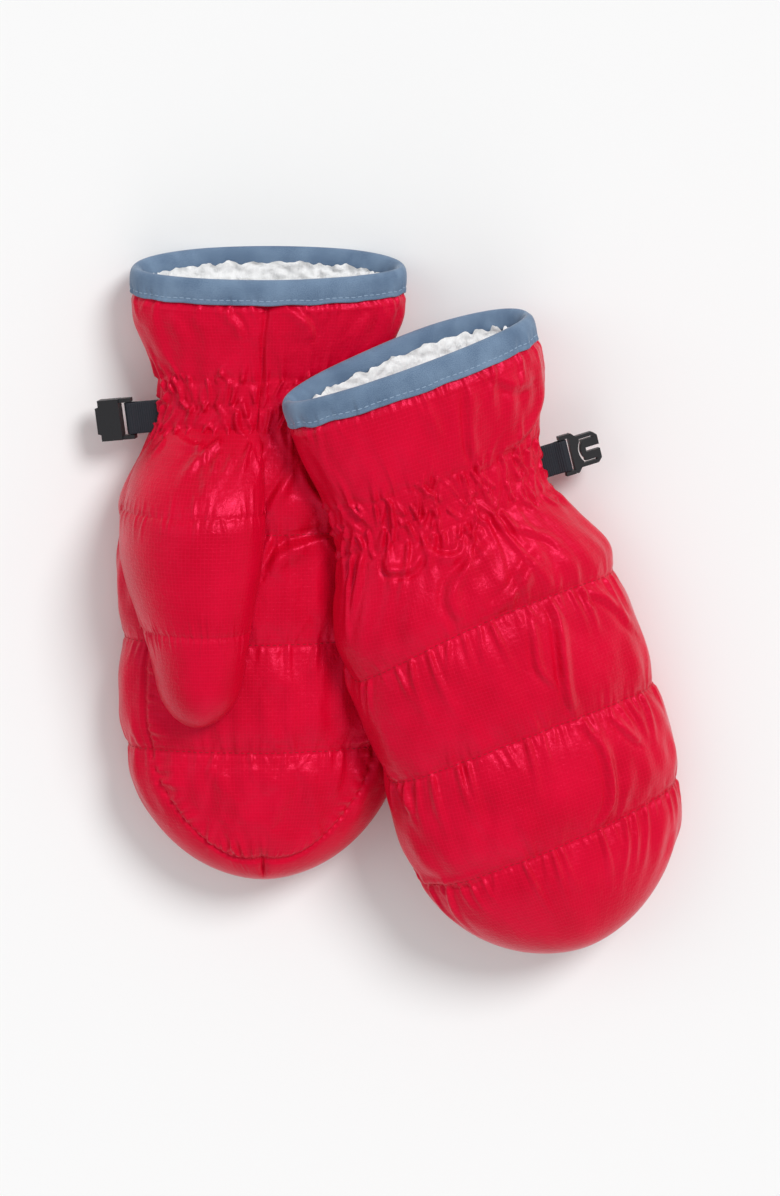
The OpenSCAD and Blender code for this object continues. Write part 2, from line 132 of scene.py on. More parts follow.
def press(side, x):
    """Share of the palm's height left at x: the right one sinks under the left, the left one lies."""
    return 1 - PRESS[side] * ease(x / HAND_HW[RIGHT] if side == RIGHT else (30 - x) / 60)


def depth_share(y):
    """How thick the layers are at y, as a share of their thickness over the hand."""
    return mix(1, MOUTH_SHARE, ease((y - WRIST_Y - 7) / 40))


def mouth_shift(side, x, t):
    """How far the mouth lies past MITTEN_LEN: the upper lip short, the lower one long."""
    upper = np.sin(t) if side == RIGHT else -np.sin(t)
    lips = np.where(upper > 0, FRONT_LIP[side] * upper, -BACK_LIP * upper)
    return lips if side == RIGHT else lips + LEFT_MOUTH[0] + LEFT_MOUTH[1] * x


def skin(side, y, t, depth=0.0):
    """A point of the layer at a depth, at angle t round the section of row y."""
    y, t = np.asarray(y, float), np.asarray(t, float)
    full = fullness(y)
    x = (along(y, HAND_HW[side], WRIST_HW, CUFF_HW[side]) - depth) * full * np.cos(t)
    height = np.where(
        np.sin(t) >= 0, along(y, *PALM_H[side]) * press(side, x), -along(y, *BACK_H[side]))
    z = (height - np.sign(height) * depth) * full ** 0.6 * np.abs(np.sin(t)) ** 0.85
    inner_y = TIP_LEN - (TIP_LEN - depth) * (1 - y / TIP_LEN)
    mouth_y = mouth_shift(side, x, t) * ease((y - WRIST_Y - 17) / 40)
    return np.stack([x + lean(side, y), np.where(y < TIP_LEN, inner_y, y + mouth_y), z], -1)


def palm_z(side, x, y):
    """Height of the palm over the side edge."""
    x, y = np.asarray(x, float), np.asarray(y, float)
    w = along(y, HAND_HW[side], WRIST_HW, CUFF_HW[side]) * fullness(y)
    s = np.sqrt(np.maximum(0, 1 - np.minimum(1, np.abs(x - lean(side, y)) / np.maximum(w, 1)) ** 2))
    return along(y, *PALM_H[side]) * press(side, x) * fullness(y) ** 0.6 * s ** 0.85


def turn(axis, angle):
    """The matrix of a turn about X, Y or Z."""
    c, s = np.cos(angle), np.sin(angle)
    m = np.eye(3)
    i, j = [(1, 2), (2, 0), (0, 1)][axis]
    m[i, i] = m[j, j] = c
    m[i, j], m[j, i] = -s, s
    return m


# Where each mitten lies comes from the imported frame: a node's box and a joint's point.
joints = {j["name"]: j for j in frame["joints"]}
lining_lo, lining_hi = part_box("right_back_lining")
RIGHT_ORIGIN = np.array([
    0.5 * (lining_lo.x + lining_hi.x) / MM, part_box("right_back_shell")[0].y / MM, EDGE_Z])
LEFT_TURN = turn(2, YAW) @ turn(1, ROLL) @ turn(0, PITCH) @ np.diag([1, 1, -1])
LEFT_ORIGIN = np.array(joints["left_tab_fold"]["pos_m"]) / MM - LEFT_TURN @ np.array(LEFT_TAB)


def place(side, p, floor=0.0):
    """Points of a mitten's own frame, in the shared frame, still in millimetres."""
    p = np.asarray(p, float)
    if side == RIGHT:
        q = p + RIGHT_ORIGIN
        q[..., 2] -= EDGE_DROP * ease(p[..., 0] / HAND_HW[RIGHT])
    else:
        q = p @ LEFT_TURN.T + LEFT_ORIGIN
    q[..., 2] = np.maximum(q[..., 2], floor)
    return q


# ------------------------------------------------------------------------------ meshes from grids


def new_object(name, points_mm, faces, uv_mm=None):
    """A smooth-shaded mesh object. uv_mm holds a pair for each point, and turns into metres too."""
    points = np.asarray(points_mm, float).reshape(-1, 3) * MM
    mesh = bpy.data.meshes.new(name)
    mesh.from_pydata(points.tolist(), [], [list(map(int, face)) for face in faces])
    mesh.polygons.foreach_set("use_smooth", [True] * len(mesh.polygons))
    if uv_mm is not None:
        layer = mesh.uv_layers.new(name="cloth")
        layer.data.foreach_set("uv", np.asarray(uv_mm, float).reshape(-1).astype(np.float32))
    mesh.update()
    obj = bpy.data.objects.new(name, mesh)
    bpy.context.scene.collection.objects.link(obj)
    return obj


def grid_faces(rows, columns, closed=True, flip=False):
    """Quads of a grid of points, row by row, where columns may close on themselves."""
    i, j = np.meshgrid(np.arange(rows - 1), np.arange(columns if closed else columns - 1), indexing="ij")
    k = (j + 1) % columns
    here, below = i * columns, (i + 1) * columns
    quads = np.stack([here + j, here + k, below + k, below + j], -1).reshape(-1, 4)
    return quads[:, ::-1] if flip else quads


def grid_uv(u, v, flip=False):
    """A UV pair for each corner of each quad. u and v have one column more than a closed grid."""
    rows, columns = u.shape
    i, j = np.meshgrid(np.arange(rows - 1), np.arange(columns - 1), indexing="ij")
    corners = [(i, j), (i, j + 1), (i + 1, j + 1), (i + 1, j)]
    if flip:
        corners = corners[::-1]
    return np.stack([np.stack([u[c], v[c]], -1) for c in corners], 2).reshape(-1, 2)


def closed_tube(name, grid, flip, u=None, v=None):
    """A mesh over a grid of rings, the first ring closed by a fan. u and v have one column more."""
    rows, columns = grid.shape[:2]
    middle = grid[:2].mean(1)
    pole = 1.3 * middle[0] - 0.3 * middle[1]
    j = np.arange(columns)
    fan = np.stack([(j + 1) % columns, j, 0 * j + rows * columns], -1)
    fan = fan[:, ::-1] if flip else fan
    faces = grid_faces(rows, columns, True, flip).tolist() + fan.tolist()
    uv = None
    if u is not None:
        between = 0.5 * (u[0, 1:] + u[0, :-1])
        corners = [(u[0, 1:], v[0, 1:]), (u[0, :-1], v[0, :-1]), (between, v[0, 1:] - 1)]
        corners = corners[::-1] if flip else corners
        fan_uv = np.stack([np.stack(corner, -1) for corner in corners], 1).reshape(-1, 2)
        uv = np.concatenate([grid_uv(u, v, flip), fan_uv]) * MM
    return new_object(name, np.concatenate([grid.reshape(-1, 3), pole[None]]), faces, uv)


def catmull(a, n, closed):
    """n times as many points along the first axis, on a smooth curve through the old ones."""
    m = len(a)
    s = np.arange(m * n if closed else (m - 1) * n + 1) / n
    i = np.floor(s).astype(int) if closed else np.minimum(np.floor(s).astype(int), m - 2)
    f = (s - i).reshape([-1] + [1] * (a.ndim - 1))
    near = [i - 1, i, i + 1, i + 2]
    p0, p1, p2, p3 = [a[k % m] if closed else a[np.clip(k, 0, m - 1)] for k in near]
    return 0.5 * (2 * p1 + (p2 - p0) * f + (2 * p0 - 5 * p1 + 4 * p2 - p3) * f ** 2
                  + (3 * p1 - p0 - 3 * p2 + p3) * f ** 3)


def refine(grid, n):
    """n times as many rows and columns of a grid whose rows are rings."""
    rows = catmull(grid, n, False)
    return np.swapaxes(catmull(np.swapaxes(rows, 0, 1), n, True), 0, 1)


def grid_normals(p):
    """Unit normals of a grid of rings, dP/drow x dP/dcolumn."""
    down = np.gradient(p, axis=0)
    across = (np.roll(p, -1, 1) - np.roll(p, 1, 1)) / 2
    n = np.cross(down, across)
    return n / np.maximum(np.linalg.norm(n, axis=-1, keepdims=True), 1e-9)


# ---------------------------------------------------------------------------- the shell of a body

CELL = 2.3  # mesh size for the simulation
REFINE = 3  # how much finer the shown mesh is
TIP_ROWS = 40
UNDER_TAPE = 1.2  # depth of the shell inside the bound edge
table_t = np.linspace(SEAM, 2 * pi + SEAM, 4000)


def arc_table(side):
    """Length along the section over the hand, for each angle of table_t."""
    p = skin(side, np.full_like(table_t, 100.0), table_t)
    return np.concatenate([[0], np.cumsum(np.linalg.norm(np.diff(p, axis=0), axis=1))])


ARC = [arc_table(side) for side in (RIGHT, LEFT)]


def arc_of(side, t):
    """Length along the section over the hand at angle t."""
    return np.interp(t, table_t, ARC[side])


def quilt_y(side, k, t):
    """Y of quilt line k at angle t. On the left mitten's back the lines bend and slant."""
    x = HAND_HW[side] * np.cos(t)
    if side == RIGHT:
        return QUILT_Y[k] + 0 * x
    back = [56 + 0.08 * x, 111.5 - 0.0009 * (x - 25) ** 2, 170 - 0.0018 * (x - 25) ** 2][k]
    palm = ease(4 * np.sin(t) + 0.5)
    return mix(back, QUILT_Y[k], palm)


def body_grid(side):
    """Row values v and column angles t.

    v is 0 at the fingertips, 1 to 3 on the quilt lines, 4 at the wrist and 5 at the mouth.
    """
    split = arc_of(side, pi - SEAM)
    whole = ARC[side][-1]
    arcs = np.concatenate([
        np.linspace(0, split, int(split / CELL) + 1)[:-1],
        np.linspace(split, whole, int((whole - split) / CELL) + 1)[:-1]])
    t = np.interp(arcs, ARC[side], table_t)
    tip_turn = np.arccos(1 - QUILT_Y[0] / TIP_LEN)
    tip = TIP_LEN * (1 - np.cos(tip_turn * np.linspace(0.05, 1, TIP_ROWS)))
    v = [tip / QUILT_Y[0]]
    for k, length in enumerate([51, 51, WRIST_Y - QUILT_Y[2], MITTEN_LEN - WRIST_Y]):
        v.append(k + 1 + np.linspace(0, 1, int(length / CELL) + 1)[1:])
    return np.concatenate(v), t


def body_y(side, v, t):
    """Y of the point at row value v and angle t."""
    lines = [0 * t] + [quilt_y(side, k, t) for k in range(3)]
    lines += [WRIST_Y + 0 * t, MITTEN_LEN + 0 * t]
    y = 0 * (v + t)
    for k in range(5):
        y = np.where((v >= k) & (v <= k + 1), mix(lines[k], lines[k + 1], v - k), y)
    return y


def ripple(n, cycles, count):
    """A smooth random ring of n values."""
    s = np.arange(n) / n * 2 * pi
    waves = [np.sin(c * s + rng.uniform(0, 2 * pi)) for c in rng.integers(cycles[0], cycles[1], count)]
    return np.sum(waves, axis=0) / np.sqrt(count)


def inflate(name, start, cut, pins, frames=22, pressure=2.0, cap=7.0):
    """Blender's cloth, blown up a little between pinned seams. cut is the shape it was cut to."""
    rows, columns = start.shape[:2]
    obj = new_object(name, start, grid_faces(rows, columns))
    obj.shape_key_add(name="Basis")
    key = obj.shape_key_add(name="cut")
    key.data.foreach_set("co", (cut * MM).astype(np.float32).ravel())
    group = obj.vertex_groups.new(name="pin")
    group.add(np.nonzero(pins.ravel())[0].tolist(), 1.0, "REPLACE")
    cloth = obj.modifiers.new("Cloth", "CLOTH")
    settings = cloth.settings
    settings.quality = 5
    settings.mass = 0.06
    settings.air_damping = 4
    settings.tension_stiffness = settings.compression_stiffness = 18
    settings.shear_stiffness = 4
    settings.bending_stiffness = 0.4
    settings.tension_damping = settings.compression_damping = 8
    settings.use_pressure = True
    settings.uniform_pressure_force = pressure
    settings.vertex_group_mass = "pin"
    settings.rest_shape_key = key
    settings.effector_weights.gravity = 0
    cloth.point_cache.frame_start = 1
    cloth.point_cache.frame_end = frames
    for f in range(1, frames + 1):
        bpy.context.scene.frame_set(f)
    shown = obj.evaluated_get(bpy.context.evaluated_depsgraph_get()).data
    out = np.zeros(start.size)
    shown.vertices.foreach_get("co", out)
    out = out.reshape(start.shape) / MM
    bpy.data.objects.remove(obj)
    bpy.context.scene.frame_set(1)
    move = out - start
    far = np.linalg.norm(move, axis=-1, keepdims=True)
    return start + move * np.minimum(1, cap / np.maximum(far, 1e-6))


def add_creases(height, s, y, round_s, creases):
    """Adds folds to a height field. A crease is (s, y, heading, length, half width, height, bend)."""
    for s0, y0, heading, length, width, amount, bend in creases:
        ds = (s - s0 + round_s / 2) % round_s - round_s / 2
        dy = y - y0
        near = (np.abs(ds) < length + 4 * width) & (np.abs(dy) < length + 4 * width)
        if not near.any():
            continue
        a, b = ds[near], dy[near]
        u = (a * np.sin(heading) + b * np.cos(heading)) / length
        w = a * np.cos(heading) - b * np.sin(heading) - bend * np.clip(u, 0, 1) ** 2
        wide = width * (0.7 + 0.6 * np.clip(u, 0, 1))
        profile = (1 - 1.3 * (w / wide) ** 2) * np.exp(-(w / wide) ** 2)
        taper = ease((u + 0.06) / 0.12) * np.clip(1 - u, 0, 1) ** 1.2
        height[near] += amount * profile * taper


def quilt_creases(side, round_s):
    """Folds that run off each quilt line: long ones towards the fingertips, short ones back."""
    out = []
    for k in range(3):
        for way, strength in ((0, 0.6), (pi, 1.35 if side == LEFT else 0.9)):
            s = rng.uniform(0, 4)
            while s < round_s:
                t = np.interp(s, ARC[side], table_t)
                strong = rng.random() ** 2
                out.append((
                    s, float(quilt_y(side, k, t)), way + rng.normal(0, 0.14),
                    7 + 24 * strong * strength, 1.5 + 1.3 * strong,
                    (0.4 + 1.1 * strong) * strength, rng.normal(0, 2.5)))
                s += rng.uniform(3.6, 8.5)
    return out


def cuff_creases(round_s):
    """Short puckers under the bound edge."""
    out = []
    s = 0.0
    while s < round_s:
        strong = rng.random() ** 2
        out.append((s, MITTEN_LEN - 9, pi + rng.normal(0, 0.25), 9 + 14 * strong, 1.5 + 1.2 * strong,
                    0.45 + 0.8 * strong, rng.normal(0, 3)))
        s += rng.uniform(4.5, 11.0)
    return out


def seam_creases(line_s, line_y):
    """Puckers that stand off the seam round the palm, longest on the back panel's band."""
    out = []
    step = np.hypot(np.diff(line_s), np.diff(line_y))
    far = np.concatenate([[0], np.cumsum(step)])
    at = 2.0
    while at < far[-1]:
        k = int(np.searchsorted(far, at))
        across = np.arctan2(-(line_y[k] - line_y[k - 1]), line_s[k] - line_s[k - 1])
        strong = rng.random() ** 1.5
        if line_y[k] < 205:
            out.append((line_s[k], line_y[k], across + rng.normal(0, 0.25), 4 + 6 * strong, 1.4,
                        0.1 + 0.3 * strong, 0))
            out.append((line_s[k], line_y[k], across + pi + rng.normal(0, 0.25), 8 + 9 * strong,
                        1.6 + 1.2 * strong, 0.6 + 1.2 * strong, 0))
        at += rng.uniform(4.0, 9.0)
    return out


# Large soft folds on the upper sides: half width, height, and points (x, y) along the ridge.
BIG_FOLDS = {
    LEFT: [
        (3.8, 1.9, [(6, 204), (-5, 198), (-17, 192), (-23, 183), (-21, 173)]),
        (3.2, 1.4, [(10, 208), (20, 202), (29, 196), (35, 189)]),
        (3.4, 1.8, [(25, 192), (17, 187), (7, 179), (-5, 174)]),
        (2.4, 2.2, [(-44, 209), (-44, 203), (-34, 201), (-25, 208)]),
        (2.6, 1.8, [(-8, 207), (-12, 202), (-20, 204), (-24, 209)]),
        (2.6, 2.4, [(22, 168), (23, 160), (20, 141), (18, 124), (20, 116)]),
        (2.2, 1.6, [(12, 167), (9, 152), (8, 140), (13, 130)]),
        (3.0, 1.6, [(42, 165), (50, 158), (60, 139)]),
        (2.6, 2.2, [(21, 110), (27, 96), (27, 80), (24, 68), (18, 60)]),
        (2.2, 1.5, [(36, 108), (42, 96), (46, 90)]),
        (2.4, 1.4, [(-68, 112), (-66, 100), (-62, 90)]),
        (2.4, 1.6, [(-66, 54), (-58, 51), (-48, 51), (-40, 53)]),
        (3.2, 1.8, [(13, 270), (9, 258), (7, 246), (9, 236)]),
        (3.6, 1.8, [(24, 240), (36, 243), (47, 252), (54, 264)]),
        (3.0, 1.4, [(26, 268), (36, 262), (44, 262)]),
    ],
    RIGHT: [
        (3.2, 2.4, [(-44, 196), (-36, 193), (-26, 198), (-16, 206)]),
        (2.6, 2.0, [(-6, 192), (-2, 198), (2, 207)]),
        (2.8, 1.8, [(-40, 206), (-30, 208), (-20, 204)]),
        (4.0, 2.8, [(3, 148), (9, 157), (22, 162), (38, 166)]),
        (3.0, 2.0, [(2, 176), (8, 186), (14, 196)]),
        (3.0, 2.0, [(18, 198), (22, 188), (30, 180), (42, 176)]),
        (2.8, 1.5, [(-16, 272), (-10, 264), (-8, 256)]),
        (2.8, 1.5, [(14, 272), (22, 264), (24, 256)]),
    ],
}


def add_big_folds(height, s, y, side):
    """Adds the large folds to a height field: a ridge with a hollow along one flank."""
    for width, amount, points in BIG_FOLDS[side]:
        x, line_y = np.array(points, float).T
        half = along(line_y, HAND_HW[side], WRIST_HW, CUFF_HW[side]) * fullness(line_y)
        t = np.arccos(np.clip((x - lean(side, line_y)) / half, -1, 1))
        t = 2 * pi - t if side == LEFT else t
        line = catmull(np.stack([arc_of(side, np.where(t < SEAM, t + 2 * pi, t)), line_y], 1), 14, False)
        way = np.gradient(line, axis=0)
        way /= np.linalg.norm(way, axis=1, keepdims=True)
        low, high = line.min(0) - 4 * width, line.max(0) + 4 * width
        near = (s > low[0]) & (s < high[0]) & (y > low[1]) & (y < high[1])
        gap = np.stack([s[near], y[near]], -1)[:, None] - line[None]
        far = np.hypot(gap[..., 0], gap[..., 1])
        k = far.argmin(1)
        gap = gap[np.arange(len(k)), k]
        w = far.min(1) * np.sign(way[k, 0] * gap[:, 1] - way[k, 1] * gap[:, 0]) / width
        taper = np.sin(pi * (k + 1) / (len(line) + 1)) ** 0.6
        height[near] += amount * taper * (
            np.exp(-1.0 * (w - 0.4) ** 2) - 0.7 * np.exp(-2.6 * (w + 0.8) ** 2))


def wrist_creases(round_s):
    """The gathers of the elastic: crossing folds on the band, and long ones that leave it."""
    out = []
    s = 0.0
    while s < round_s:
        for start, way in ((-12, 0), (0, 0), (0, pi), (12, pi)):
            heading = way + rng.choice([-1, 1]) * rng.uniform(0.1, 0.8)
            out.append((s + rng.normal(0, 1.5), WRIST_Y + start + rng.normal(0, 2.2), heading,
                        rng.uniform(9, 18), rng.uniform(1.5, 2.7), rng.uniform(0.9, 2.8),
                        rng.normal(0, 3)))
        if rng.random() < 0.8:
            out.append((s, WRIST_Y - 11, pi + rng.normal(0, 0.4), rng.uniform(12, 48),
                        rng.uniform(2.0, 4.2), rng.uniform(0.8, 2.6), rng.normal(0, 9)))
        if rng.random() < 0.7:
            out.append((s, WRIST_Y + 11, rng.normal(0, 0.3), rng.uniform(8, 26),
                        rng.uniform(1.8, 3.2), rng.uniform(0.6, 1.7), rng.normal(0, 4)))
        s += rng.uniform(5.0, 10.5)
    return out


def seam_lines(side):
    """Arc and Y of the seam round the palm: down one side, round the fingertips and up again."""
    side_y = np.linspace(208, 60, 120)
    tip_t = np.linspace(pi - SEAM, SEAM, 60)
    off_middle = np.abs(tip_t - pi / 2) / (pi / 2 - SEAM)
    tip_y = 12 + 48 * off_middle ** 4
    t = np.concatenate([0 * side_y + pi - SEAM, tip_t, 0 * side_y + SEAM])
    return arc_of(side, t), np.concatenate([side_y, tip_y, side_y[::-1]])


def short_seams():
    """Arc and Y of the right palm's short seams: mouth to thumb, and at the fingertips."""
    cuff_y = np.linspace(MITTEN_LEN - 8, 192, 110)
    cuff_t = pi / 2 + 0.14 * (MITTEN_LEN - 8 - cuff_y) / 85
    tip_y = np.linspace(12, 1, 20)
    t = np.concatenate([cuff_t, 0 * tip_y + pi / 2])
    return arc_of(RIGHT, t), np.concatenate([cuff_y, tip_y])


def line_distance(s, y, line_s, line_y, round_s, reach=6.0):
    """Distance from each point to a line of points, up to reach."""
    out = np.full(s.shape, reach)
    for a, b in zip(line_s, line_y):
        ds = (s - a + round_s / 2) % round_s - round_s / 2
        out = np.minimum(out, np.hypot(ds, y - b))
    return out


def body_shell(side):
    """Angles, Y and points of the shell of a mitten's body, blown up but with no small folds."""
    v, t = body_grid(side)
    V, T = np.meshgrid(v, t, indexing="ij")
    Y = body_y(side, V, T)
    k = np.round(V)
    line = np.clip(k.astype(int), 1, 3)
    away = np.abs(Y - np.choose(line - 1, [quilt_y(side, n, T) for n in range(3)]))
    depth = 2.6 * np.exp(-(away / 9) ** 2) - 0.6
    depth = mix(depth, UNDER_TAPE, ease((Y - MITTEN_LEN + 14) / 4))
    start_local = skin(side, Y, T, depth)
    wobble = np.array([ripple(len(t), (7, 30), 8) for _ in v])
    kernel = np.exp(-np.linspace(-2, 2, 15) ** 2)
    wobble = np.apply_along_axis(lambda c: np.convolve(c, kernel / kernel.sum(), "same"), 0, wobble)
    start = place(side, start_local)
    wobble = 1.1 * wobble * ease((Y - 14) / 30) * ease((MITTEN_LEN - 14 - Y) / 10)
    start = start + grid_normals(start) * OUTWARD[side] * wobble[..., None]
    start[..., 2] = np.maximum(start[..., 2], 0)
    pins = (np.abs(V - k) < 1e-6) & (k >= 1) & (k <= 3)
    pins |= np.abs(Y - WRIST_Y) < 12
    pins |= Y > MITTEN_LEN - 13
    if side == RIGHT:
        under = (np.sin(T) > 0.2) & (Y > 84) & (Y < 205)
        pins |= under & (start_local[..., 0] > -60) & (start_local[..., 0] < -3)
    pins[:5] = True
    pins[-3:] = True
    pins[:, 0] = True
    pins[:, int(np.argmin(np.abs(t - (pi - SEAM))))] = True
    loose = 1.06 + 0.12 * ease((Y - 165) / 40) - 0.1 * ease((Y - 240) / 30)
    cut = place(side, start_local * np.stack([loose, 0 * loose + 1.10, loose], -1), floor=-1e9)
    out = inflate(SIDES[side] + "_blown", start, cut, pins)
    out[..., 2] = np.maximum(out[..., 2], 0)
    return T, Y, out


def finish_shell(side):
    """Points, arc and Y of the shown shell, and the arc of each column."""
    T, Y, P = body_shell(side)
    round_s = ARC[side][-1]
    s_ring = arc_of(side, T[0])
    fine = refine(P, REFINE)
    rows, columns = fine.shape[:2]
    Yf = refine(Y, REFINE)
    coarse = np.append(s_ring, round_s)
    ring = np.interp(np.arange(columns + 1) / REFINE, np.arange(len(coarse)), coarse)
    S = np.broadcast_to(ring[:-1], (rows, columns)).copy()
    height = np.zeros((rows, columns))
    add_creases(height, S, Yf, round_s, quilt_creases(side, round_s))
    add_creases(height, S, Yf, round_s, wrist_creases(round_s))
    Tf = np.interp(S, ARC[side], table_t)
    add_creases(height, S, Yf, round_s, cuff_creases(round_s))
    seam_s, seam_y = seam_lines(side)
    add_creases(height, S, Yf, round_s, seam_creases(seam_s, seam_y))
    add_big_folds(height, S, Yf, side)
    for n in range(3):
        d = np.abs(Yf - quilt_y(side, n, Tf))
        height -= 1.1 * np.exp(-(d / 1.6) ** 2)
        height *= 1 - 0.55 * np.exp(-(d / 1.2) ** 2)
    for stitch_row in (-11.5, 0, 11.5):
        waved = Yf - WRIST_Y - stitch_row - 1.5 * np.sin(S / 5.5 + stitch_row)
        height -= (0.6 if stitch_row else 0.3) * np.exp(-(waved / 2.2) ** 2)
    d = line_distance(S, Yf, seam_s, seam_y, round_s)
    height *= 1 - 0.85 * np.exp(-(d / 2.0) ** 2)
    height -= 1.5 * np.exp(-(d / 1.3) ** 2)
    if side == RIGHT:
        d = line_distance(S, Yf, *short_seams(), round_s, 14.0)
        height *= 1 - 0.8 * np.exp(-(d / 1.8) ** 2)
        height -= 1.5 * np.exp(-(d / 1.2) ** 2) + 1.6 * np.exp(-(d / 5.0) ** 2)
    height *= 1 - ease((Yf - MITTEN_LEN + 12) / 8)
    height *= ease((Yf - 1) / 6)
    fine = fine + grid_normals(fine) * OUTWARD[side] * height[..., None]
    fine[..., 2] = np.maximum(fine[..., 2], 0)
    return fine, S, Yf, ring


# --------------------------------------------------------------------------------------- materials


def material(name, color, roughness, **sockets):
    """A material, its node tree and its shader. Socket names have _ for a space."""
    mat = bpy.data.materials.new(name)
    mat.use_nodes = True
    shader = mat.node_tree.nodes["Principled BSDF"]
    shader.inputs["Base Color"].default_value = (*color, 1)
    shader.inputs["Roughness"].default_value = roughness
    for socket, value in sockets.items():
        shader.inputs[socket.replace("_", " ")].default_value = value
    return mat, mat.node_tree, shader


def node(tree, kind, **values):
    """A node with these settings or input values."""
    n = tree.nodes.new(kind)
    for key, value in values.items():
        if hasattr(n, key):
            setattr(n, key, value)
        else:
            n.inputs[key.replace("_", " ")].default_value = value
    return n


def math_node(tree, operation, a, b=None):
    """The output of a math node on numbers or other outputs."""
    n = tree.nodes.new("ShaderNodeMath")
    n.operation = operation
    for socket, value in zip(n.inputs, (a, b)):
        if value is None:
            continue
        if isinstance(value, (int, float)):
            socket.default_value = value
        else:
            tree.links.new(value, socket)
    return n.outputs[0]


def cloth_noise(tree, source, **values):
    """A noise texture over these coordinates."""
    noise_node = node(tree, "ShaderNodeTexNoise", **values)
    tree.links.new(source, noise_node.inputs["Vector"])
    return noise_node.outputs[0]


def two_tone(tree, source, low, high, ends=(0.0, 1.0)):
    """A colour that goes from low to high between two values of the source."""
    ramp = node(tree, "ShaderNodeValToRGB")
    for stop, place_at, color in zip(ramp.color_ramp.elements, ends, (low, high)):
        stop.position = place_at
        stop.color = (*color, 1)
    tree.links.new(source, ramp.inputs[0])
    return ramp.outputs[0]


def bump(tree, source, strength, distance, under=None):
    """The normal of a bumpy surface, on top of another bump's normal if there is one."""
    bump_node = node(tree, "ShaderNodeBump", Strength=strength, Distance=distance)
    tree.links.new(source, bump_node.inputs["Height"])
    if under is not None:
        tree.links.new(under, bump_node.inputs["Normal"])
    return bump_node.outputs[0]


RIPSTOP_PITCH = 0.0017
GRID_LINE = 0.42  # a thick thread lies where the phase is this far from the middle of a cell


def ripstop():
    """Glossy red ripstop: a grid of thicker threads, fine crinkles, and cloudy colour."""
    mat, tree, shader = material(
        "red_ripstop", (0.6, 0.002, 0.026), 0.28, Specular_IOR_Level=0.9,
        Sheen_Weight=0.02, Sheen_Roughness=0.4)
    shader.inputs["Specular Tint"].default_value = (1, 0.08, 0.22, 1)
    shader.inputs["Sheen Tint"].default_value = (1, 0.05, 0.15, 1)
    uv = node(tree, "ShaderNodeUVMap", uv_map="cloth")
    split = node(tree, "ShaderNodeSeparateXYZ")
    tree.links.new(uv.outputs["UV"], split.inputs[0])
    lines = []
    for axis in (0, 1):
        cells = math_node(tree, "MULTIPLY", split.outputs[axis], 1 / RIPSTOP_PITCH)
        phase = math_node(tree, "FRACT", cells)
        away = math_node(tree, "ABSOLUTE", math_node(tree, "SUBTRACT", phase, 0.5))
        lines.append(math_node(tree, "GREATER_THAN", away, GRID_LINE))
    grid = math_node(tree, "MAXIMUM", lines[0], lines[1])
    weave = cloth_noise(tree, uv.outputs["UV"], Scale=5200.0, Detail=2.0)
    threads = math_node(
        tree, "ADD", math_node(tree, "MULTIPLY", grid, 0.6), math_node(tree, "MULTIPLY", weave, 0.5))
    crinkle = cloth_noise(
        tree, uv.outputs["UV"], Scale=420.0, Detail=5.0, Roughness=0.6, Distortion=0.8)
    woven = bump(tree, threads, 0.35, 0.00012)
    tree.links.new(bump(tree, crinkle, 0.5, 0.0006, woven), shader.inputs["Normal"])
    cloud = cloth_noise(tree, uv.outputs["UV"], Scale=38.0, Detail=3.0)
    tint = node(tree, "ShaderNodeMix", data_type="RGBA")
    tint.inputs["B"].default_value = (0.86, 0.003, 0.045, 1)
    tree.links.new(math_node(tree, "MULTIPLY", grid, 0.3), tint.inputs["Factor"])
    dyed = two_tone(tree, cloud, (0.56, 0.001, 0.017), (0.68, 0.002, 0.027), (0.3, 0.7))
    tree.links.new(dyed, tint.inputs["A"])
    tree.links.new(tint.outputs["Result"], shader.inputs["Base Color"])
    return mat


red = ripstop()

# --------------------------------------------------------------------------------- the body shells

body = {}
for side in (RIGHT, LEFT):
    name = SIDES[side]
    points, S, Yf, ring = finish_shell(side)
    rows, columns = points.shape[:2]
    u = np.broadcast_to(ring, (rows, columns + 1))
    shell = closed_tube(
        name + "_body_shell", points, side == RIGHT, u, np.concatenate([Yf, Yf[:, :1]], 1))
    shell.data.materials.append(red)
    body[side] = (points, S, Yf)
    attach(shell, name + "_mitten")
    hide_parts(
        *[name + "_" + part for part in (
            "back_shell", "cuff_back_shell", "palm_shell", "thumb_side_shell", "back_insulation",
            "palm_insulation")])

# ------------------------------------------------------------------------------------- the thumbs

THUMB_KNOTS = {
    # distance from the fingertip, left edge, right edge, height over the palm
    RIGHT: np.array([
        (78, -47, -12, 19), (93, -48, -9.5, 20), (111, -52, -6.5, 21), (126, -57, -4, 22),
        (142, -63, -1, 23.5), (155, -66, 1, 24.5), (172, -65.5, 2, 24), (188, -61, 2, 18),
        (202, -55, 1, 9), (218, -48, -1, 1)]),
    LEFT: np.array([
        (78, -44, -13, 12), (93, -43, -12, 12), (111, -38, -4, 12.5), (126, -33, 4, 13),
        (142, -29, 10, 13), (155, -27, 13, 13), (172, -26, 14, 13), (188, -24, 12, 11),
        (202, -20, 8, 5), (218, -18, 6, 0.5)]),
}
THUMB_TIP_Y = 77.0
THUMB_TIP_LEN = 19.0
THUMB_END_Y = 218.0
THUMB_QUILT = [121.0, 176.0]
THUMB_BEND = (198.0, 158.0)  # two distances from the fingertips; points over them are placed below but not used
MEASURED_ROW = 60  # a full-width row, whose length round gives the cloth's own coordinates


